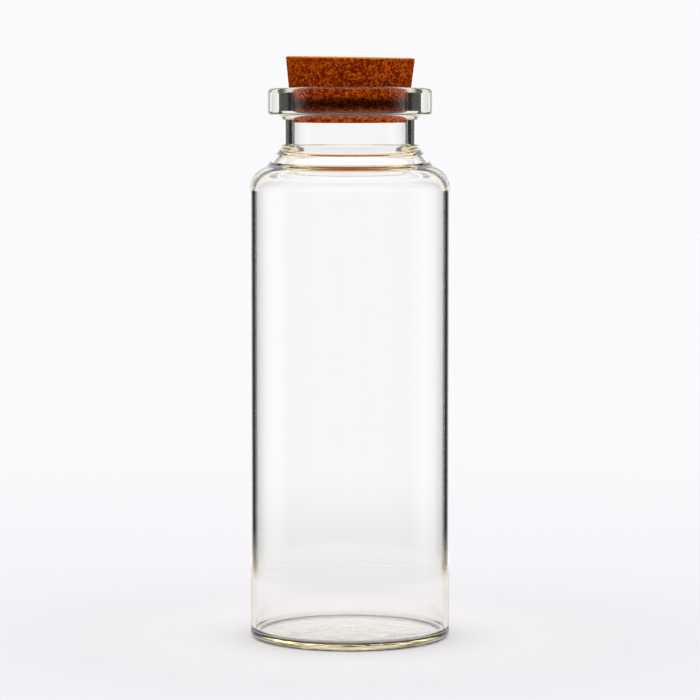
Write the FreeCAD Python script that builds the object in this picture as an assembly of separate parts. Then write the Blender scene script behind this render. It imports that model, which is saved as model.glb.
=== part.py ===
import FreeCAD, Part
import math
import os

# A round glass vial with a short tapered cork stopper, in millimetres.
# +Z points up, and the origin is on the axis at the level of the surface that the vial stands on.
# The glass is one piece, drawn as a closed outline in (radius, height) and turned about the axis.
# The stopper is drawn as it sits: squeezed to the bore below the mouth, free and tapered above it.

# The glass body and its foot
GLASS_HEIGHT = 82.5  # foot to mouth
BODY_RADIUS = 15.0
BODY_WALL = 0.7
HEEL_RADIUS = 0.8  # outer corner between the wall and the foot
FOOT_RING_WIDTH = 1.0  # the flat ring that the vial stands on
PUNT_RISE = 0.3  # how far the underside is pushed up at its middle
FLOOR_THICKNESS = 0.9  # from the standing surface to the edge of the inner floor
FLOOR_CORNER = 0.8  # inner corner between the floor and the wall
FLOOR_RISE = 0.35  # how far the inner floor is domed at its middle

# The shoulder: a straight flare from the neck down to a crease, then a round shoulder into the wall
FLARE_SPREAD = 0.47  # how far out the crease is, as a share of the way from the neck to the wall
FLARE_HEIGHT = 2.9
CREASE_ROUND = 0.4
SHOULDER_FALL_DEG = 20.0  # from the crease to the wall
SHOULDER_RADIUS = 3.6
NECK_FILLET = 0.8

# Inside it: the bore ends in a small ledge, then the inner flare and the ceiling follow the outside
FLARE_WALL = 1.4  # square to the flare
LEDGE_DROP = 1.75  # from the outer foot of the neck down to the ledge
LEDGE_WIDTH = 1.2
LEDGE_ROUND = 0.3
INNER_CREASE_ROUND = 0.8
CEILING_FALL_DEG = 20.0
CEILING_DEPTH = 0.65  # the corner of the inner ceiling and wall, under the outer one
CEILING_RADIUS = 3.0

# The neck and the lip
BORE_RADIUS = 8.7
NECK_WALL = 1.5
NECK_LENGTH = 4.65  # outside, between the shoulder and the lip
LIP_HEIGHT = 4.1
LIP_OVERHANG = 2.1  # beyond the neck
LIP_CORNER = 0.5
LIP_FILLET = 0.7  # under the lip
LIP_CROWN = 0.2  # fall of the lip's top from the mouth to its outer corner
MOUTH_ROUND = 0.8  # rounded inner edge of the mouth

# The cork stopper
CORK_CLEARANCE = 0.04  # between the squeezed cork and the glass
CORK_INSERTION = 5.25  # below the mouth
CORK_HEAD = 5.1  # above the mouth
CORK_BULGE = 0.5  # how far the cork spreads over the rounded mouth, beyond the bore
CORK_TAPER_DEG = 6.6  # of the free head, from the axis
CORK_LEAD = 0.6  # height of the slightly narrower end
CORK_LEAD_STEP = 0.12  # how much narrower that end is
CORK_EDGE = 0.25  # rounding of both rims


class Outline:
    """A closed outline in (radius, height), built edge by edge and turned into a solid."""

    def __init__(self, radius, height):
        self.first = self.at = FreeCAD.Vector(radius, 0, height)
        self.edges = []

    def line_to(self, radius, height):
        end = FreeCAD.Vector(radius, 0, height)
        if end.distanceToPoint(self.at) > 1e-6:
            self.edges.append(Part.LineSegment(self.at, end).toShape())
            self.at = end

    def arc_to(self, radius, height, centre_radius, centre_height):
        """The shorter arc about a centre, from the last point to this one."""
        end = FreeCAD.Vector(radius, 0, height)
        centre = FreeCAD.Vector(centre_radius, 0, centre_height)
        outward = (self.at - centre) + (end - centre)
        middle = centre + outward.normalize() * (self.at - centre).Length
        self.edges.append(Part.Arc(self.at, middle, end).toShape())
        self.at = end

    def round_through(self, corners):
        """Straight edges through (radius, height, rounding); each rounding is as large as its two edges allow."""
        points = [self.at] + [FreeCAD.Vector(radius, 0, height) for radius, height, _ in corners]
        roundings = [0] + [rounding for _, _, rounding in corners]
        half_angles = [0] * len(points)
        for i in range(1, len(points) - 1):
            half_angles[i] = (points[i - 1] - points[i]).getAngle(points[i + 1] - points[i]) / 2
        reaches = [r / math.tan(half) if r else 0 for r, half in zip(roundings, half_angles)]
        shares = [1] * len(points)
        for i in range(len(points) - 1):
            wanted = reaches[i] + reaches[i + 1]
            share = min(1, points[i].distanceToPoint(points[i + 1]) / wanted) if wanted else 1
            shares[i] = min(shares[i], share)
            shares[i + 1] = min(shares[i + 1], share)
        for i in range(1, len(points)):
            reach = reaches[i] * shares[i]
            if not reach:
                self.line_to(points[i].x, points[i].z)
                continue
            back = (points[i - 1] - points[i]).normalize()
            onward = (points[i + 1] - points[i]).normalize()
            start = points[i] + back * reach
            end = points[i] + onward * reach
            centre = points[i] + (back + onward).normalize() * (reach / math.cos(half_angles[i]))
            self.line_to(start.x, start.z)
            self.arc_to(end.x, end.z, centre.x, centre.z)

    def solid(self):
        self.line_to(self.first.x, self.first.z)
        face = Part.Face(Part.Wire(self.edges))
        turned = face.revolve(FreeCAD.Vector(0, 0, 0), FreeCAD.Vector(0, 0, 1), 360)
        return turned if turned.ShapeType == "Solid" else turned.Solids[0]


def dome_centre(rise, reach, top):
    """Height of the centre of a shallow arc that peaks on the axis and falls by rise over reach."""
    return top - (reach**2 + rise**2) / (2 * rise)


def glass_vial():
    inner_radius = BODY_RADIUS - BODY_WALL
    neck_radius = BORE_RADIUS + NECK_WALL
    lip_radius = neck_radius + LIP_OVERHANG
    lip_underside = GLASS_HEIGHT - LIP_HEIGHT
    lip_rim = GLASS_HEIGHT - LIP_CROWN
    neck_foot = lip_underside - NECK_LENGTH
    crease_radius = neck_radius + FLARE_SPREAD * (BODY_RADIUS - neck_radius)
    crease = neck_foot - FLARE_HEIGHT
    shoulder = crease - (BODY_RADIUS - crease_radius) * math.tan(math.radians(SHOULDER_FALL_DEG))

    # inside, the flare runs down from the ledge until it meets the ceiling
    steepness = FLARE_HEIGHT / (crease_radius - neck_radius)
    ledge_radius = BORE_RADIUS + min(LEDGE_WIDTH, (inner_radius - BORE_RADIUS) / 3)
    throat = neck_foot - LEDGE_DROP
    ledge_foot = neck_foot - (ledge_radius - neck_radius) * steepness - FLARE_WALL * math.hypot(1, steepness)
    ceiling = shoulder - CEILING_DEPTH
    ceiling_fall = math.tan(math.radians(CEILING_FALL_DEG))
    flare_drop = ledge_foot - ceiling - (inner_radius - ledge_radius) * ceiling_fall
    inner_crease_radius = ledge_radius + flare_drop / (steepness - ceiling_fall)
    inner_crease = ceiling + (inner_radius - inner_crease_radius) * ceiling_fall

    # the pushed-up underside, inside the flat foot ring
    ring_inner = BODY_RADIUS - HEEL_RADIUS - FOOT_RING_WIDTH
    outline = Outline(0, PUNT_RISE)
    outline.arc_to(ring_inner, 0, 0, dome_centre(PUNT_RISE, ring_inner, PUNT_RISE))

    floor_edge = inner_radius - FLOOR_CORNER
    outline.round_through([
        (BODY_RADIUS, 0, HEEL_RADIUS),
        (BODY_RADIUS, shoulder, SHOULDER_RADIUS),
        (crease_radius, crease, CREASE_ROUND),
        (neck_radius, neck_foot, NECK_FILLET),
        (neck_radius, lip_underside, LIP_FILLET),
        (lip_radius, lip_underside, LIP_CORNER),
        (lip_radius, lip_rim, LIP_CORNER),
        (BORE_RADIUS + MOUTH_ROUND, GLASS_HEIGHT, 0),
        (BORE_RADIUS, GLASS_HEIGHT, MOUTH_ROUND),
        (BORE_RADIUS, throat, LEDGE_ROUND),
        (ledge_radius, ledge_foot, LEDGE_ROUND),
        (inner_crease_radius, inner_crease, INNER_CREASE_ROUND),
        (inner_radius, ceiling, CEILING_RADIUS),
        (inner_radius, FLOOR_THICKNESS, FLOOR_CORNER),
        (floor_edge, FLOOR_THICKNESS, 0),
    ])

    # the domed inner floor
    floor_top = FLOOR_THICKNESS + FLOOR_RISE
    outline.arc_to(0, floor_top, 0, dome_centre(FLOOR_RISE, floor_edge, floor_top))
    return outline.solid()


def cork_stopper():
    foot = GLASS_HEIGHT - CORK_INSERTION
    top = GLASS_HEIGHT + CORK_HEAD
    plug_radius = BORE_RADIUS - CORK_CLEARANCE
    foot_radius = plug_radius - CORK_LEAD_STEP

    # the cork spreads over the rounded mouth at a constant clearance, as far as its bulge
    mouth_radius = BORE_RADIUS + MOUTH_ROUND
    mouth_foot = GLASS_HEIGHT - MOUTH_ROUND
    spread = MOUTH_ROUND + CORK_CLEARANCE
    spread_turn = math.acos((MOUTH_ROUND - CORK_BULGE) / spread)
    bulge_radius = BORE_RADIUS + CORK_BULGE
    bulge_height = mouth_foot + spread * math.sin(spread_turn)
    top_radius = bulge_radius + (top - bulge_height) * math.tan(math.radians(CORK_TAPER_DEG))

    outline = Outline(0, foot)
    outline.line_to(foot_radius - CORK_EDGE, foot)
    outline.arc_to(foot_radius, foot + CORK_EDGE, foot_radius - CORK_EDGE, foot + CORK_EDGE)
    outline.line_to(plug_radius, foot + CORK_LEAD)
    outline.line_to(plug_radius, mouth_foot)
    outline.arc_to(bulge_radius, bulge_height, mouth_radius, mouth_foot)
    outline.line_to(top_radius, top - CORK_EDGE)
    outline.arc_to(top_radius - CORK_EDGE, top, top_radius - CORK_EDGE, top - CORK_EDGE)
    outline.line_to(0, top)
    return outline.solid()


PIECES = {"glass_vial": glass_vial, "cork_stopper": cork_stopper}

os.makedirs("parts", exist_ok=True)
for name, make in PIECES.items():
    piece = make()
    piece.exportStep(f"parts/{name}.step")
    box = piece.optimalBoundingBox()
    print(f"{name}: valid {piece.isValid()}, {piece.Volume:.1f} mm3, "
          f"radius {box.XMax:.3f}, height {box.ZMin:.3f} to {box.ZMax:.3f}")
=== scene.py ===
import math

import bpy
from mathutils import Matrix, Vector


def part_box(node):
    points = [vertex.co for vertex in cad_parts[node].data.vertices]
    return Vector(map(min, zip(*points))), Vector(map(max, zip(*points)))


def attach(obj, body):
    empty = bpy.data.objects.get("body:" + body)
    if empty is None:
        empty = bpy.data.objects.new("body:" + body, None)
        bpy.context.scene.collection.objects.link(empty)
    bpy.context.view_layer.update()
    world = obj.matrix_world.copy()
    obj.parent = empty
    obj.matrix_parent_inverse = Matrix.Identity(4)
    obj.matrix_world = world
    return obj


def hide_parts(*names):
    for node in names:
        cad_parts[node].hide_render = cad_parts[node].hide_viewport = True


print("loading the packed frame")
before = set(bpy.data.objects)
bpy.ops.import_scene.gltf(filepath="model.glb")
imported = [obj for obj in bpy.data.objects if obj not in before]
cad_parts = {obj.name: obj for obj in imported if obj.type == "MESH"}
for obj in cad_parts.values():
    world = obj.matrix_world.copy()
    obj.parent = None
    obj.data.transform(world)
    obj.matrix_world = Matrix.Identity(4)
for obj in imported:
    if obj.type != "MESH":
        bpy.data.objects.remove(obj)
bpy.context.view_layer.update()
glassLow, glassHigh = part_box("glass_vial")
corkLow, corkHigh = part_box("cork_stopper")
mm = 0.001


# ---- small helpers for node trees and meshes

def link(tree, source, target):
    tree.links.new(source, target)


def feed(tree, value, socket):
    if isinstance(value, bpy.types.NodeSocket):
        link(tree, value, socket)
    elif value is not None:
        socket.default_value = value


def mathNode(tree, operation, first, second=None):
    node = tree.nodes.new("ShaderNodeMath")
    node.operation = operation
    feed(tree, first, node.inputs[0])
    feed(tree, second, node.inputs[1])
    return node.outputs[0]


def addVectors(tree, first, second):
    node = tree.nodes.new("ShaderNodeVectorMath")
    node.operation = "ADD"
    link(tree, first, node.inputs[0])
    link(tree, second, node.inputs[1])
    return node.outputs[0]


def scaleVector(tree, vector, scale):
    node = tree.nodes.new("ShaderNodeVectorMath")
    node.operation = "SCALE"
    link(tree, vector, node.inputs[0])
    feed(tree, scale, node.inputs["Scale"])
    return node.outputs[0]


def mapRange(tree, value, fromLow, fromHigh, toLow, toHigh, smooth=True):
    node = tree.nodes.new("ShaderNodeMapRange")
    node.interpolation_type = "SMOOTHSTEP" if smooth else "LINEAR"
    link(tree, value, node.inputs["Value"])
    node.inputs["From Min"].default_value = fromLow
    node.inputs["From Max"].default_value = fromHigh
    node.inputs["To Min"].default_value = toLow
    node.inputs["To Max"].default_value = toHigh
    return node.outputs["Result"]


# A profile is a list of (radius, height, relief).
# The relief says how much of the surface noise that point takes.

def lineTo(profile, radius, height, spacing, relief=0.0, support=0.04):
    startRadius, startHeight, _ = profile[-1]
    length = math.hypot(radius - startRadius, height - startHeight)
    if length < 1e-6:
        return
    steps = max(1, round(length / spacing))
    stops = {i / steps for i in range(1, steps + 1)}
    if length > 3 * support:
        stops |= {support / length, 1 - support / length}
    for t in sorted(stops):
        r = startRadius + (radius - startRadius) * t
        z = startHeight + (height - startHeight) * t
        profile.append((r, z, relief))


def arcTo(profile, radius, height, centreRadius, centreHeight, steps=14, relief=0.0):
    startRadius, startHeight, _ = profile[-1]
    size = math.hypot(startRadius - centreRadius, startHeight - centreHeight)
    start = math.atan2(startHeight - centreHeight, startRadius - centreRadius)
    turn = math.atan2(height - centreHeight, radius - centreRadius) - start
    turn = (turn + math.pi) % (2 * math.pi) - math.pi
    for i in range(1, steps + 1):
        a = start + turn * i / steps
        r = centreRadius + size * math.cos(a)
        z = centreHeight + size * math.sin(a)
        profile.append((r, z, relief))


def roundThrough(profile, corners, spacing=1.0):
    points = [Vector(profile[-1][:2])] + [Vector(corner[:2]) for corner in corners]
    roundings = [0] + [corner[2] for corner in corners]
    for i in range(1, len(points)):
        if not roundings[i]:
            lineTo(profile, *points[i], spacing=spacing)
            continue
        back = (points[i - 1] - points[i]).normalized()
        onward = (points[i + 1] - points[i]).normalized()
        half = back.angle(onward) / 2
        start = points[i] + back * roundings[i] / math.tan(half)
        end = points[i] + onward * roundings[i] / math.tan(half)
        centre = points[i] + (back + onward).normalized() * roundings[i] / math.sin(half)
        lineTo(profile, *start, spacing=spacing)
        arcTo(profile, *end, *centre, steps=max(6, round(20 * (1 - 2 * half / math.pi))))


# the height of the centre of a dome that rises by rise over a half width of reach
def domeCentre(rise, reach, top):
    return top - (reach**2 + rise**2) / (2 * rise)


# ---- the turning tree: a profile goes round the Z axis, then takes its surface noise

def makeTurningTree(name):
    tree = bpy.data.node_groups.new(name, "GeometryNodeTree")
    face = tree.interface
    face.new_socket("Profile", in_out="INPUT", socket_type="NodeSocketGeometry")
    for label, kind, value in (
        ("Segments", "NodeSocketInt", 256),
        ("Profile points", "NodeSocketInt", 100),
        ("Noise size", "NodeSocketFloat", 0.001),
        ("Noise depth", "NodeSocketFloat", 0.0),
        ("Noise detail", "NodeSocketFloat", 2.0),
        ("Seed", "NodeSocketFloat", 1.0),
        ("Lean", "NodeSocketFloat", 0.0),
        ("Fall", "NodeSocketVector", (0, 0, 0)),
        ("Pivot height", "NodeSocketFloat", 0.0),
        ("Material", "NodeSocketMaterial", None),
    ):
        socket = face.new_socket(label, in_out="INPUT", socket_type=kind)
        if value is not None:
            socket.default_value = value
    face.new_socket("Turned", in_out="OUTPUT", socket_type="NodeSocketGeometry")
    given = tree.nodes.new("NodeGroupInput").outputs
    new = tree.nodes.new

    # one column of points for each step round, and one row for each point of the profile
    grid = new("GeometryNodeMeshGrid")
    link(tree, mathNode(tree, "ADD", given["Segments"], 1.0), grid.inputs["Vertices X"])
    link(tree, given["Profile points"], grid.inputs["Vertices Y"])
    index = new("GeometryNodeInputIndex").outputs[0]
    middle = mathNode(tree, "ADD", index, 0.5)
    column = mathNode(tree, "FLOOR", mathNode(tree, "DIVIDE", middle, given["Profile points"]))
    before = mathNode(tree, "MULTIPLY", column, given["Profile points"])
    row = mathNode(tree, "SUBTRACT", index, before)
    angle = mathNode(tree, "DIVIDE", mathNode(tree, "MULTIPLY", column, 2 * math.pi), given["Segments"])

    def sampled(value, kind):
        node = new("GeometryNodeSampleIndex")
        node.data_type = kind
        node.domain = "POINT"
        link(tree, given["Profile"], node.inputs["Geometry"])
        link(tree, value, node.inputs["Value"])
        link(tree, row, node.inputs["Index"])
        return node.outputs[0]

    at = new("ShaderNodeSeparateXYZ")
    link(tree, sampled(new("GeometryNodeInputPosition").outputs[0], "FLOAT_VECTOR"), at.inputs[0])
    reliefName = new("GeometryNodeInputNamedAttribute")
    reliefName.data_type = "FLOAT"
    reliefName.inputs["Name"].default_value = "relief"
    relief = sampled(reliefName.outputs[0], "FLOAT")
    turned = new("ShaderNodeCombineXYZ")
    across = mathNode(tree, "MULTIPLY", at.outputs["X"], mathNode(tree, "COSINE", angle))
    deep = mathNode(tree, "MULTIPLY", at.outputs["X"], mathNode(tree, "SINE", angle))
    link(tree, across, turned.inputs["X"])
    link(tree, deep, turned.inputs["Y"])
    link(tree, at.outputs["Z"], turned.inputs["Z"])
    place = new("GeometryNodeSetPosition")
    link(tree, grid.outputs["Mesh"], place.inputs["Geometry"])
    link(tree, turned.outputs[0], place.inputs["Position"])
    keepRelief = new("GeometryNodeStoreNamedAttribute")
    keepRelief.data_type = "FLOAT"
    keepRelief.domain = "POINT"
    keepRelief.inputs["Name"].default_value = "relief"
    link(tree, place.outputs[0], keepRelief.inputs["Geometry"])
    link(tree, relief, keepRelief.inputs["Value"])
    closed = new("GeometryNodeMergeByDistance")
    closed.inputs["Distance"].default_value = 2e-6
    link(tree, keepRelief.outputs[0], closed.inputs["Geometry"])

    # noise sinks the surface along its normal, never out of it
    position = new("GeometryNodeInputPosition").outputs[0]
    noise = new("ShaderNodeTexNoise")
    noise.noise_dimensions = "4D"
    noise.inputs["Scale"].default_value = 1.0
    density = mathNode(tree, "DIVIDE", 1.0, given["Noise size"])
    link(tree, scaleVector(tree, position, density), noise.inputs["Vector"])
    link(tree, given["Seed"], noise.inputs["W"])
    link(tree, given["Noise detail"], noise.inputs["Detail"])
    keptRelief = new("GeometryNodeInputNamedAttribute")
    keptRelief.data_type = "FLOAT"
    keptRelief.inputs["Name"].default_value = "relief"
    depth = mathNode(tree, "MULTIPLY", noise.outputs[0], given["Noise depth"])
    depth = mathNode(tree, "MULTIPLY", depth, keptRelief.outputs[0])
    sunk = new("GeometryNodeSetPosition")
    link(tree, closed.outputs[0], sunk.inputs["Geometry"])
    inward = mathNode(tree, "MULTIPLY", depth, -1.0)
    normal = new("GeometryNodeInputNormal").outputs[0]
    link(tree, scaleVector(tree, normal, inward), sunk.inputs["Offset"])

    # above the pivot height the piece leans to +X, and its top falls along the fall vector
    here = new("ShaderNodeSeparateXYZ")
    position = new("GeometryNodeInputPosition").outputs[0]
    link(tree, position, here.inputs[0])
    above = mathNode(tree, "SUBTRACT", here.outputs["Z"], given["Pivot height"])
    above = mathNode(tree, "MAXIMUM", above, 0.0)
    shift = new("ShaderNodeCombineXYZ")
    link(tree, mathNode(tree, "MULTIPLY", above, given["Lean"]), shift.inputs["X"])
    along = new("ShaderNodeVectorMath")
    along.operation = "DOT_PRODUCT"
    link(tree, position, along.inputs[0])
    link(tree, given["Fall"], along.inputs[1])
    fall = mathNode(tree, "MULTIPLY", along.outputs["Value"], above)
    link(tree, mathNode(tree, "MULTIPLY", fall, -1.0), shift.inputs["Z"])
    leant = new("GeometryNodeSetPosition")
    link(tree, sunk.outputs[0], leant.inputs["Geometry"])
    link(tree, shift.outputs[0], leant.inputs["Offset"])

    smooth = new("GeometryNodeSetShadeSmooth")
    link(tree, leant.outputs[0], smooth.inputs["Geometry"])
    realized = new("GeometryNodeRealizeInstances")
    link(tree, smooth.outputs[0], realized.inputs["Geometry"])
    painted = new("GeometryNodeSetMaterial")
    link(tree, realized.outputs[0], painted.inputs["Geometry"])
    link(tree, given["Material"], painted.inputs["Material"])
    link(tree, painted.outputs[0], new("NodeGroupOutput").inputs[0])
    return tree


def turnProfile(name, profile, tree, settings):
    mesh = bpy.data.meshes.new(name + "Profile")
    points = [(r * mm, 0, z * mm) for r, z, _ in profile]
    edges = [(i, i + 1) for i in range(len(profile) - 1)]
    mesh.from_pydata(points, edges, [])
    relief = mesh.attributes.new("relief", "FLOAT", "POINT")
    relief.data.foreach_set("value", [amount for _, _, amount in profile])
    source = bpy.data.objects.new(name + "Source", mesh)
    bpy.context.scene.collection.objects.link(source)
    modifier = source.modifiers.new("turning", "NODES")
    modifier.node_group = tree
    sockets = {s.name: s.identifier for s in tree.interface.items_tree if s.in_out == "INPUT"}
    for label, value in {"Profile points": len(profile), **settings}.items():
        modifier[sockets[label]] = value
    depsgraph = bpy.context.evaluated_depsgraph_get()
    result = bpy.data.meshes.new_from_object(source.evaluated_get(depsgraph))
    bpy.data.objects.remove(source)
    piece = bpy.data.objects.new(name, result)
    bpy.context.scene.collection.objects.link(piece)
    for spare in [a.name for a in result.attributes if a.name in ("relief", "UVMap")]:
        result.attributes.remove(result.attributes[spare])
    return piece


# ---- materials

glassLook = {
    "ior": 1.5,
    "absorptionColour": (0.69, 0.60, 0.19, 1),
    "absorptionDensity": 16.0,  # per metre
}


def makeGlassMaterial():
    material = bpy.data.materials.new("clearGlass")
    material.use_nodes = True
    tree = material.node_tree
    shader = tree.nodes["Principled BSDF"]
    shader.inputs["Base Color"].default_value = (1, 1, 1, 1)
    shader.inputs["Roughness"].default_value = 0.0
    shader.inputs["IOR"].default_value = glassLook["ior"]
    shader.inputs["Transmission Weight"].default_value = 1.0
    absorption = tree.nodes.new("ShaderNodeVolumeAbsorption")
    absorption.inputs["Color"].default_value = glassLook["absorptionColour"]
    absorption.inputs["Density"].default_value = glassLook["absorptionDensity"]
    link(tree, absorption.outputs[0], tree.nodes["Material Output"].inputs["Volume"])
    return material


corkLook = {
    "granule": 0.30,  # mm across
    "strayBy": 0.8,  # of a granule, how far its edge wanders
    "wanderPerGranule": 3,
    "finePerGranule": 2.2,
    "cellShare": 0.35,  # of the tone, the rest is fine noise
    "darkAt": 0.27,
    "middleAt": 0.48,
    "paleAt": 0.74,
    "dark": (0.07, 0.008, 0.0005, 1),
    "middle": (0.29, 0.026, 0.001, 1),
    "pale": (0.73, 0.152, 0.011, 1),
    # painted highlight: faces turned up are mixed towards this pale orange, as if lit from above
    "topHighlight": (1.0, 0.42, 0.06, 1),
    "topHighlightShare": 0.6,
    "squeezed": 0.20,  # painted shade: how dark the cork is painted in the middle of the lip
    "paintedLipLight": 2.3,  # painted light: and how pale it is painted above and below that, inside the glass
    "darkestDepth": 2.6,  # mm below the mouth, where the painted shade is darkest
    "darkestFrom": 0.1,  # mm off the darkest line, where the darkest part ends
    "darkestTo": 1.9,
    "roughness": 0.95,
    "bump": 0.10,  # mm
}


def makeCorkMaterial():
    material = bpy.data.materials.new("granulatedCork")
    material.use_nodes = True
    tree = material.node_tree
    shader = tree.nodes["Principled BSDF"]
    shader.inputs["Roughness"].default_value = corkLook["roughness"]
    shader.inputs["Specular IOR Level"].default_value = 0.0
    place = tree.nodes.new("ShaderNodeTexCoord").outputs["Object"]
    cells = tree.nodes.new("ShaderNodeTexVoronoi")
    granule = corkLook["granule"] * mm
    cells.inputs["Scale"].default_value = 1 / granule
    wander = tree.nodes.new("ShaderNodeTexNoise")
    wander.inputs["Scale"].default_value = corkLook["wanderPerGranule"] / granule
    link(tree, place, wander.inputs["Vector"])
    stray = scaleVector(tree, wander.outputs["Color"], corkLook["strayBy"] * granule)
    link(tree, addVectors(tree, place, stray), cells.inputs["Vector"])
    cellTone = tree.nodes.new("ShaderNodeSeparateColor")
    link(tree, cells.outputs["Color"], cellTone.inputs[0])
    fine = tree.nodes.new("ShaderNodeTexNoise")
    fine.inputs["Scale"].default_value = corkLook["finePerGranule"] / granule
    fine.inputs["Detail"].default_value = 3
    link(tree, place, fine.inputs["Vector"])
    cellPart = mathNode(tree, "MULTIPLY", cellTone.outputs[0], corkLook["cellShare"])
    finePart = mathNode(tree, "MULTIPLY", fine.outputs[0], 1 - corkLook["cellShare"])
    tone = mathNode(tree, "ADD", cellPart, finePart)
    ramp = tree.nodes.new("ShaderNodeValToRGB")
    ramp.color_ramp.elements[0].position = corkLook["darkAt"]
    ramp.color_ramp.elements[0].color = corkLook["dark"]
    ramp.color_ramp.elements[1].position = corkLook["paleAt"]
    ramp.color_ramp.elements[1].color = corkLook["pale"]
    ramp.color_ramp.elements.new(corkLook["middleAt"]).color = corkLook["middle"]
    link(tree, tone, ramp.inputs[0])

    # painted shade and painted light: darker in a band inside the lip, paler above and below that inside
    # the glass, plain on the free head
    axes = tree.nodes.new("ShaderNodeSeparateXYZ")
    link(tree, place, axes.inputs[0])
    darkestHeight = glassHigh.z - corkLook["darkestDepth"] * mm
    offDarkest = mathNode(tree, "ABSOLUTE", mathNode(tree, "SUBTRACT", axes.outputs["Z"], darkestHeight))
    darkestFrom, darkestTo = corkLook["darkestFrom"] * mm, corkLook["darkestTo"] * mm
    paintedLipLight = mapRange(tree, offDarkest, darkestFrom, darkestTo, corkLook["squeezed"], corkLook["paintedLipLight"])
    headFrom, headTo = glassHigh.z - 0.25 * mm, glassHigh.z + 0.1 * mm
    head = mapRange(tree, axes.outputs["Z"], headFrom, headTo, 0.0, 1.0)
    inNeck = mathNode(tree, "MULTIPLY", paintedLipLight, mathNode(tree, "SUBTRACT", 1.0, head))
    shade = mathNode(tree, "ADD", inNeck, head)
    # painted highlight: the more a surface faces up, the more it is mixed towards a pale orange
    facing = tree.nodes.new("ShaderNodeSeparateXYZ")
    link(tree, tree.nodes.new("ShaderNodeNewGeometry").outputs["Normal"], facing.inputs[0])
    topHighlightMix = tree.nodes.new("ShaderNodeMix")
    topHighlightMix.data_type = "RGBA"
    link(tree, mapRange(tree, facing.outputs["Z"], 0.1, 0.9, 0.0, corkLook["topHighlightShare"]), topHighlightMix.inputs[0])
    link(tree, scaleVector(tree, ramp.outputs[0], shade), topHighlightMix.inputs[6])
    topHighlightMix.inputs[7].default_value = corkLook["topHighlight"]
    link(tree, topHighlightMix.outputs[2], shader.inputs["Base Color"])
    bump = tree.nodes.new("ShaderNodeBump")
    bump.inputs["Strength"].default_value = 1.0
    bump.inputs["Distance"].default_value = corkLook["bump"] * mm
    height = mathNode(tree, "SUBTRACT", fine.outputs[0], cells.outputs["Distance"])
    link(tree, height, bump.inputs["Height"])
    link(tree, bump.outputs[0], shader.inputs["Normal"])
    return material


# ---- the glass vial, in millimetres as drawn in the frame

vialShape = {
    "wall": 0.7,
    "heel": 0.8,
    "footRing": 1.0,
    "puntRise": 0.3,
    "floorThickness": 0.9,
    "floorCorner": 0.8,
    "floorRise": 0.35,
    "flareSpread": 0.47,  # share of the way from the neck to the wall
    "flareHeight": 2.9,
    "creaseRound": 0.4,
    "shoulderFall": 20.0,  # degrees
    "shoulderRadius": 3.6,
    "neckFillet": 0.8,
    "flareWall": 1.4,  # square to the flare
    "ledgeDrop": 1.75,  # from the outer neck foot to the ledge where the bore ends
    "ledgeWidth": 1.2,
    "ledgeRound": 0.3,
    "innerCreaseRound": 0.8,
    "ceilingFall": 20.0,
    "ceilingDepth": 0.65,
    "ceilingRadius": 3.0,
    "bore": 8.7,
    "neckWall": 1.5,
    "neckLength": 4.65,
    "lipHeight": 4.1,
    "lipOverhang": 2.1,
    "lipCorner": 0.5,
    "lipFillet": 0.7,
    "lipCrown": 0.2,
    "mouthRound": 0.8,
    "segments": 288,
}


def vialProfile(shape):
    body, height = glassHigh.x / mm, glassHigh.z / mm
    inner = body - shape["wall"]
    bore = shape["bore"]
    neck = bore + shape["neckWall"]
    lip = neck + shape["lipOverhang"]
    lipFoot = height - shape["lipHeight"]
    neckFoot = lipFoot - shape["neckLength"]
    crease = neck + shape["flareSpread"] * (body - neck)
    creaseHeight = neckFoot - shape["flareHeight"]
    shoulder = creaseHeight - (body - crease) * math.tan(math.radians(shape["shoulderFall"]))
    ceiling = shoulder - shape["ceilingDepth"]
    # inside, the bore ends in a ledge, and a flare parallel to the outer one meets the ceiling
    steepness = shape["flareHeight"] / (crease - neck)
    gentle = math.tan(math.radians(shape["ceilingFall"]))
    ledge = bore + shape["ledgeWidth"]
    throat = neckFoot - shape["ledgeDrop"]
    ledgeFoot = neckFoot - (ledge - neck) * steepness - shape["flareWall"] * math.hypot(1, steepness)
    innerCrease = (ledgeFoot - ceiling + ledge * steepness - inner * gentle) / (steepness - gentle)
    innerCreaseHeight = ceiling + (inner - innerCrease) * gentle
    floorEdge = inner - shape["floorCorner"]
    floorTop = shape["floorThickness"] + shape["floorRise"]

    ringInner = body - shape["heel"] - shape["footRing"]
    profile = [(0.0, shape["puntRise"], 0.0)]
    arcTo(profile, ringInner, 0, 0, domeCentre(shape["puntRise"], ringInner, shape["puntRise"]), 16)
    roundThrough(profile, [
        (body, 0, shape["heel"]),
        (body, shoulder, shape["shoulderRadius"]),
        (crease, creaseHeight, shape["creaseRound"]),
        (neck, neckFoot, shape["neckFillet"]),
        (neck, lipFoot, shape["lipFillet"]),
        (lip, lipFoot, shape["lipCorner"]),
        (lip, height - shape["lipCrown"], shape["lipCorner"]),
        (bore + shape["mouthRound"], height, 0),
        (bore, height, shape["mouthRound"]),
        (bore, throat, shape["ledgeRound"]),
        (ledge, ledgeFoot, shape["ledgeRound"]),
        (innerCrease, innerCreaseHeight, shape["innerCreaseRound"]),
        (inner, ceiling, shape["ceilingRadius"]),
        (inner, shape["floorThickness"], shape["floorCorner"]),
        (floorEdge, shape["floorThickness"], 0),
    ])
    arcTo(profile, 0, floorTop, 0, domeCentre(shape["floorRise"], floorEdge, floorTop), 40, relief=1.0)
    return profile


# ---- the cork, squeezed in the bore and free above it

corkShape = {
    "clearance": 0.04,
    "headLow": 9.2,  # radius where it leaves the mouth
    "headTop": 9.69,
    "topDrop": 0.5,  # the middle of the crooked top, below its highest edge
    "leadStep": 0.12,
    "leadHeight": 0.6,
    "edge": 0.25,
    "topEdge": 0.3,
    "spacing": 0.22,
    "segments": 256,
    "lean": 0.012,
    "fall": (3.6, -9.2, 0.0),  # of the top, to the right and to the front
}


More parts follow.
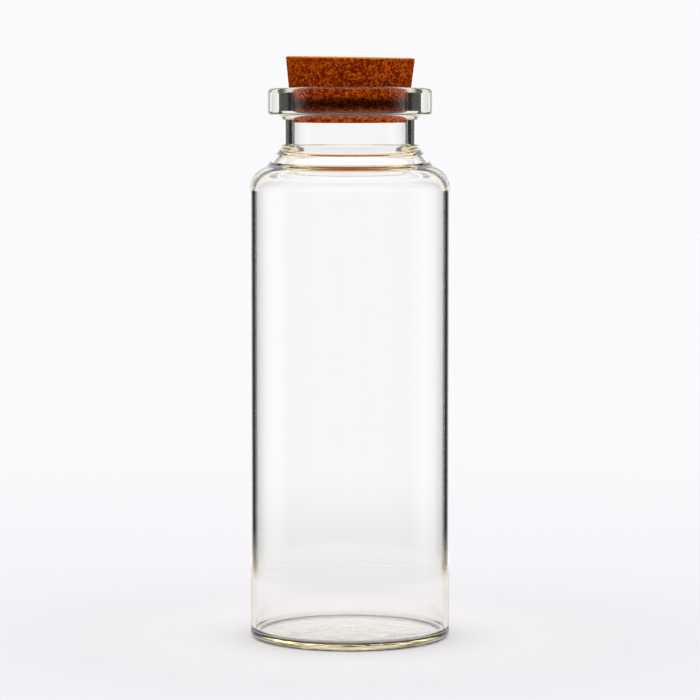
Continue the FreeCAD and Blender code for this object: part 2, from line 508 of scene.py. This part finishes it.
def corkProfile(shape):
    low, high = corkLow.z / mm, corkHigh.z / mm - shape["topDrop"]
    bore = vialShape["bore"]
    plug = bore - shape["clearance"]
    foot = plug - shape["leadStep"]
    mouth = glassHigh.z / mm
    roundRadius = vialShape["mouthRound"]
    spread = roundRadius + shape["clearance"]
    turn = math.acos((roundRadius - (shape["headLow"] - bore)) / spread)
    bulge = mouth - roundRadius + spread * math.sin(turn)
    fine = {"spacing": shape["spacing"], "relief": 1.0, "support": 0.0001}
    profile = [(0.0, low, 1.0)]
    lineTo(profile, foot - shape["edge"], low, **fine)
    arcTo(profile, foot, low + shape["edge"], foot - shape["edge"], low + shape["edge"], 4, relief=1.0)
    lineTo(profile, plug, low + shape["leadHeight"], **fine)
    lineTo(profile, plug, mouth - roundRadius, **fine)
    arcTo(profile, shape["headLow"], bulge, bore + roundRadius, mouth - roundRadius, 4, relief=1.0)
    edge = shape["topEdge"]
    lineTo(profile, shape["headTop"], high - edge, **fine)
    arcTo(profile, shape["headTop"] - edge, high, shape["headTop"] - edge, high - edge, 6, relief=1.0)
    lineTo(profile, 0, high, **fine)
    return profile


print("turning the glass")
turningTree = makeTurningTree("turnedPiece")
glass = turnProfile("glassVial", vialProfile(vialShape), turningTree, {
    "Segments": vialShape["segments"],
    "Noise size": 2.2 * mm,
    "Noise depth": 0.05 * mm,
    "Seed": 3.0,
    "Material": makeGlassMaterial(),
})
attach(glass, "vial")
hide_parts("glass_vial")

print("turning the cork")
cork = turnProfile("corkStopper", corkProfile(corkShape), turningTree, {
    "Segments": corkShape["segments"],
    "Noise size": 0.5 * mm,
    "Noise depth": 0.16 * mm,
    "Noise detail": 3.0,
    "Seed": 5.0,
    "Lean": corkShape["lean"],
    "Fall": corkShape["fall"],
    "Pivot height": glassHigh.z,
    "Material": makeCorkMaterial(),
})
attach(cork, "stopper")
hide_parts("cork_stopper")


# ---- stage: a pale floor, and a soft studio that is bright behind the object with dark edges beside it

studio = {
    "floorRadius": 2.2,  # metres
    "floorUnder": (0.98, 0.957, 0.955, 1),  # painted light: paler under the vial and close to it, where its shadow falls
    # painted shade: the floor is set a little darker near the vial than far out
    "floorNear": (0.859, 0.841, 0.853, 1),
    "floorFar": (0.879, 0.879, 0.877, 1),
    "underTo": 0.017,
    "footFrom": 0.0134,
    "footTo": 0.0146,
    "footGain": 1.6,  # painted light: over 1, so more than a real floor gives back
    "nearFrom": 0.045,
    "farFrom": 0.40,
    "seenFrom": 0.062,  # the floor seen by bent rays fades out between these radii
    "seenTo": 0.085,
    "backdrop": (0.956, 0.956, 0.976, 1),
    "field": 1.15,  # brightness of the bright fields, seen through the glass
    "dark": 0.03,
    "halfAngle": 15.0,  # degrees, of each bright field below the horizon
    "highHalfAngle": 23.5,  # and above it
    "soft": 1.5,
    "mirroredFrom": 20.0,  # reflected off the outside, the low field fades out between these
    "mirroredTo": 34.0,
    "mirroredHalfAngle": 38.0,
    "ringInner": 21.0,  # over the horizon a dark ring goes round the back field
    "ringOuter": 34.0,
    "ledHalfAngle": 38.0,
    "ledField": 3.0,
    "ledSteepField": 1.2,
    "ledTint": (1.0, 0.85, 0.52, 1),
    "side": 0.8,
    "overhead": 1.0,
    "fill": 1.134,
    # angles off the back in degrees, and steepness as the height of a direction of length 1
    "horizon": (-0.008, -0.002),
    "splitBelow": (-0.20, -0.16),  # lower than this the fields are twice as many
    "evenAbove": (0.06, 0.12),  # higher than this one even field
    "evenField": 0.88,
    "throughEnd": (150, 165),
    "throughTop": (0.55, 0.65),
    "lowShade": (-0.148, -0.110),
    "lowShadeField": 0.85,
    "sideBelow": (34, 50),
    "sideAbove": (66, 80),
    "sideEnd": (75, 110),
    "overheadFrom": (0.48, 0.58),
    "ringAbove": (0.03, 0.07),
    "darkEnd": (110, 150),
    "darkBehind": 0.15,  # share of dark
    "ledFrom": (0.13, 0.15),
    "ledSteep": (0.20, 0.26),
    "fillSteep": (-0.2, 0.9),
    "fillBelow": 0.35,
    "fillAbove": 1.25,
    "frontShade": (110, 170),
    "frontFill": 0.35,
    "frontShadeTop": (0.5, 0.8),
}


def makeFloorMaterial():
    material = bpy.data.materials.new("paleFloor")
    material.use_nodes = True
    tree = material.node_tree
    shader = tree.nodes["Principled BSDF"]
    shader.inputs["Roughness"].default_value = 1.0
    shader.inputs["Specular IOR Level"].default_value = 0.0
    length = tree.nodes.new("ShaderNodeVectorMath")
    length.operation = "LENGTH"
    link(tree, tree.nodes.new("ShaderNodeTexCoord").outputs["Object"], length.inputs[0])
    distance = length.outputs["Value"]
    # painted light and painted shade: paler under the vial, a little darker near it, plain far out
    fade = tree.nodes.new("ShaderNodeValToRGB")
    fade.color_ramp.interpolation = "EASE"
    fade.color_ramp.elements[0].position = studio["underTo"]
    fade.color_ramp.elements[0].color = studio["floorUnder"]
    fade.color_ramp.elements[1].position = studio["farFrom"]
    fade.color_ramp.elements[1].color = studio["floorFar"]
    fade.color_ramp.elements.new(studio["nearFrom"]).color = studio["floorNear"]
    link(tree, distance, fade.inputs[0])

    # painted light: under the foot the floor is set paler than a real one, because it came out too dark
    # there
    gain = mapRange(tree, distance, studio["footFrom"], studio["footTo"], studio["footGain"], 1.0)
    link(tree, scaleVector(tree, fade.outputs[0], gain), shader.inputs["Base Color"])

    # rays bent or reflected by the glass pass the floor further out, and find the dark sides of the studio
    path = tree.nodes.new("ShaderNodeLightPath").outputs
    bent = mathNode(tree, "MAXIMUM", path["Is Transmission Ray"], path["Is Glossy Ray"])
    bent = mathNode(tree, "MULTIPLY", bent, mathNode(tree, "LESS_THAN", path["Diffuse Depth"], 0.5))
    outside = mapRange(tree, distance, studio["seenFrom"], studio["seenTo"], 0.0, 1.0)
    passing = mathNode(tree, "MULTIPLY", bent, outside)
    mix = tree.nodes.new("ShaderNodeMixShader")
    link(tree, passing, mix.inputs[0])
    link(tree, shader.outputs[0], mix.inputs[1])
    link(tree, tree.nodes.new("ShaderNodeBsdfTransparent").outputs[0], mix.inputs[2])
    link(tree, mix.outputs[0], tree.nodes["Material Output"].inputs["Surface"])
    return material


print("setting the stage")
steps = 96
rim = []
for i in range(steps):
    turn = 2 * math.pi * i / steps
    rim.append((studio["floorRadius"] * math.cos(turn), studio["floorRadius"] * math.sin(turn), 0))
floorMesh = bpy.data.meshes.new("floor")
floorMesh.from_pydata(rim, [], [tuple(range(steps))])
floorMesh.materials.append(makeFloorMaterial())
floor = bpy.data.objects.new("floor", floorMesh)
bpy.context.scene.collection.objects.link(floor)


# The world is not physical: its brightness depends on the kind of ray as well as on the direction.
# Directions are fixed to the scene, so the fields stay where they are in every view.

def makeStudioWorld():
    world = bpy.data.worlds.new("studioWorld")
    bpy.context.scene.world = world
    world.use_nodes = True
    tree = world.node_tree
    tree.nodes.clear()
    path = tree.nodes.new("ShaderNodeLightPath").outputs
    direction = tree.nodes.new("ShaderNodeSeparateXYZ")
    link(tree, tree.nodes.new("ShaderNodeTexCoord").outputs["Generated"], direction.inputs[0])
    x, y, z = direction.outputs
    bearing = mathNode(tree, "ARCTAN2", x, y)
    offBack = mathNode(tree, "ABSOLUTE", bearing)

    def blend(share, first, second):
        node = tree.nodes.new("ShaderNodeMix")
        feed(tree, share, node.inputs[0])
        feed(tree, first, node.inputs[2])
        feed(tree, second, node.inputs[3])
        return node.outputs[0]

    def times(first, second):
        return mathNode(tree, "MULTIPLY", first, second)

    def brighter(first, second):
        return mathNode(tree, "MAXIMUM", first, second)

    def bySteepness(value, name, low, high, smooth=True):
        return mapRange(tree, value, *studio[name], low, high, smooth)

    def byAngle(value, name, low, high):
        start, end = (math.radians(angle) for angle in studio[name])
        return mapRange(tree, value, start, end, low, high)

    def fields(offset, halfAngle):
        edge = math.radians(halfAngle)
        soft = math.radians(studio["soft"])
        return mapRange(tree, offset, edge - soft, edge + soft, 1.0, 0.0)

    # seen straight through the glass: bright fields round the horizon, closer together lower down
    high = bySteepness(z, "horizon", 0.0, 1.0)
    quarter = mathNode(tree, "PINGPONG", bearing, math.radians(45))
    eighth = mathNode(tree, "PINGPONG", bearing, math.radians(22.5))
    through = blend(high, fields(quarter, studio["halfAngle"]), fields(quarter, studio["highHalfAngle"]))
    lowest = bySteepness(z, "splitBelow", 1.0, 0.0)
    through = blend(lowest, through, fields(eighth, studio["halfAngle"]))
    through = blend(bySteepness(z, "evenAbove", 0.0, 1.0), through, studio["evenField"])
    through = times(through, byAngle(offBack, "throughEnd", 1.0, 0.0))
    through = times(through, bySteepness(z, "throughTop", studio["field"], 0.0))
    through = times(through, bySteepness(z, "lowShade", studio["lowShadeField"], 1.0))

    # seen by reflection inside the glass: the back field, soft light from both sides and overhead
    back = blend(high, fields(offBack, studio["halfAngle"]), fields(offBack, studio["highHalfAngle"]))
    back = times(back, studio["field"])
    sides = blend(high, byAngle(offBack, "sideBelow", 0.0, 1.0), byAngle(offBack, "sideAbove", 0.0, 1.0))
    sides = times(sides, byAngle(offBack, "sideEnd", studio["side"], 0.0))
    offCentre = mathNode(tree, "ARCCOSINE", y)
    ringInner, ringOuter, soft = (math.radians(studio[name]) for name in ("ringInner", "ringOuter", "soft"))
    inRing = mapRange(tree, offCentre, ringInner - soft, ringInner + soft, studio["field"], 0.0)
    outRing = mapRange(tree, offCentre, ringOuter - 2 * soft, ringOuter + 2 * soft, 0.0, studio["overhead"])
    ring = brighter(inRing, outRing)
    overhead = bySteepness(z, "overheadFrom", 0.0, studio["overhead"])
    reflected = brighter(brighter(back, sides), overhead)
    reflected = blend(bySteepness(z, "ringAbove", 0.0, 1.0), reflected, ring)

    # seen by reflection off the outside of the glass: the back field and the light overhead
    mirroredFrom, mirroredTo = math.radians(studio["mirroredFrom"]), math.radians(studio["mirroredTo"])
    lowMirrored = mapRange(tree, offBack, mirroredFrom, mirroredTo, 1.0, 0.0)
    mirrored = blend(high, lowMirrored, fields(offBack, studio["mirroredHalfAngle"]))
    mirrored = brighter(times(mirrored, studio["field"]), overhead)
    outer = mathNode(tree, "LESS_THAN", path["Transmission Depth"], 0.5)
    reflected = blend(outer, reflected, mirrored)
    seen = blend(mathNode(tree, "GREATER_THAN", path["Glossy Depth"], 0.5), through, reflected)
    dark = byAngle(offBack, "darkEnd", studio["dark"], studio["darkBehind"] * studio["dark"])
    seen = brighter(seen, dark)

    # after two or more reflections, on steep rays: a paler and warmer field, as at the foot and throat
    led = mathNode(tree, "GREATER_THAN", path["Glossy Depth"], 1.5)
    steep = mathNode(tree, "ABSOLUTE", z)
    led = times(led, bySteepness(steep, "ledFrom", 0.0, 1.0))
    ledField = bySteepness(steep, "ledSteep", studio["ledField"], studio["ledSteepField"])
    ledField = times(ledField, fields(offBack, studio["ledHalfAngle"]))
    seen = brighter(seen, times(led, ledField))
    tint = tree.nodes.new("ShaderNodeMix")
    tint.data_type = "RGBA"
    link(tree, led, tint.inputs[0])
    tint.inputs[6].default_value = studio["backdrop"]
    tint.inputs[7].default_value = studio["ledTint"]

    # soft light for the floor and the cork: strongest from above, weak from the front
    fromAbove = bySteepness(z, "fillSteep", studio["fillBelow"], studio["fillAbove"], smooth=False)
    frontShade = byAngle(offBack, "frontShade", 1.0, studio["frontFill"])
    shade = brighter(frontShade, bySteepness(z, "frontShadeTop", 0.0, 1.0))
    light = times(times(fromAbove, shade), studio["fill"])

    strength = blend(mathNode(tree, "GREATER_THAN", path["Diffuse Depth"], 0.5), seen, light)
    strength = blend(path["Is Camera Ray"], strength, 1.0)
    background = tree.nodes.new("ShaderNodeBackground")
    link(tree, tint.outputs[2], background.inputs["Color"])
    link(tree, strength, background.inputs["Strength"])
    link(tree, background.outputs[0], tree.nodes.new("ShaderNodeOutputWorld").inputs["Surface"])


makeStudioWorld()

print("placing the camera")
cameraView = {
    "distance": 0.420,  # from the axis
    "height": 0.072,
    "pitch": 3.92,  # degrees down
    "lens": 144.0,
}
cameraData = bpy.data.cameras.new("camera")
cameraData.lens = cameraView["lens"]
cameraData.sensor_width = 36
camera = bpy.data.objects.new("camera", cameraData)
camera.location = (0, -cameraView["distance"], cameraView["height"])
camera.rotation_euler = (math.radians(90 - cameraView["pitch"]), 0, 0)
bpy.context.scene.collection.objects.link(camera)
bpy.context.scene.camera = camera
bpy.context.scene.view_settings.view_transform = "Standard"
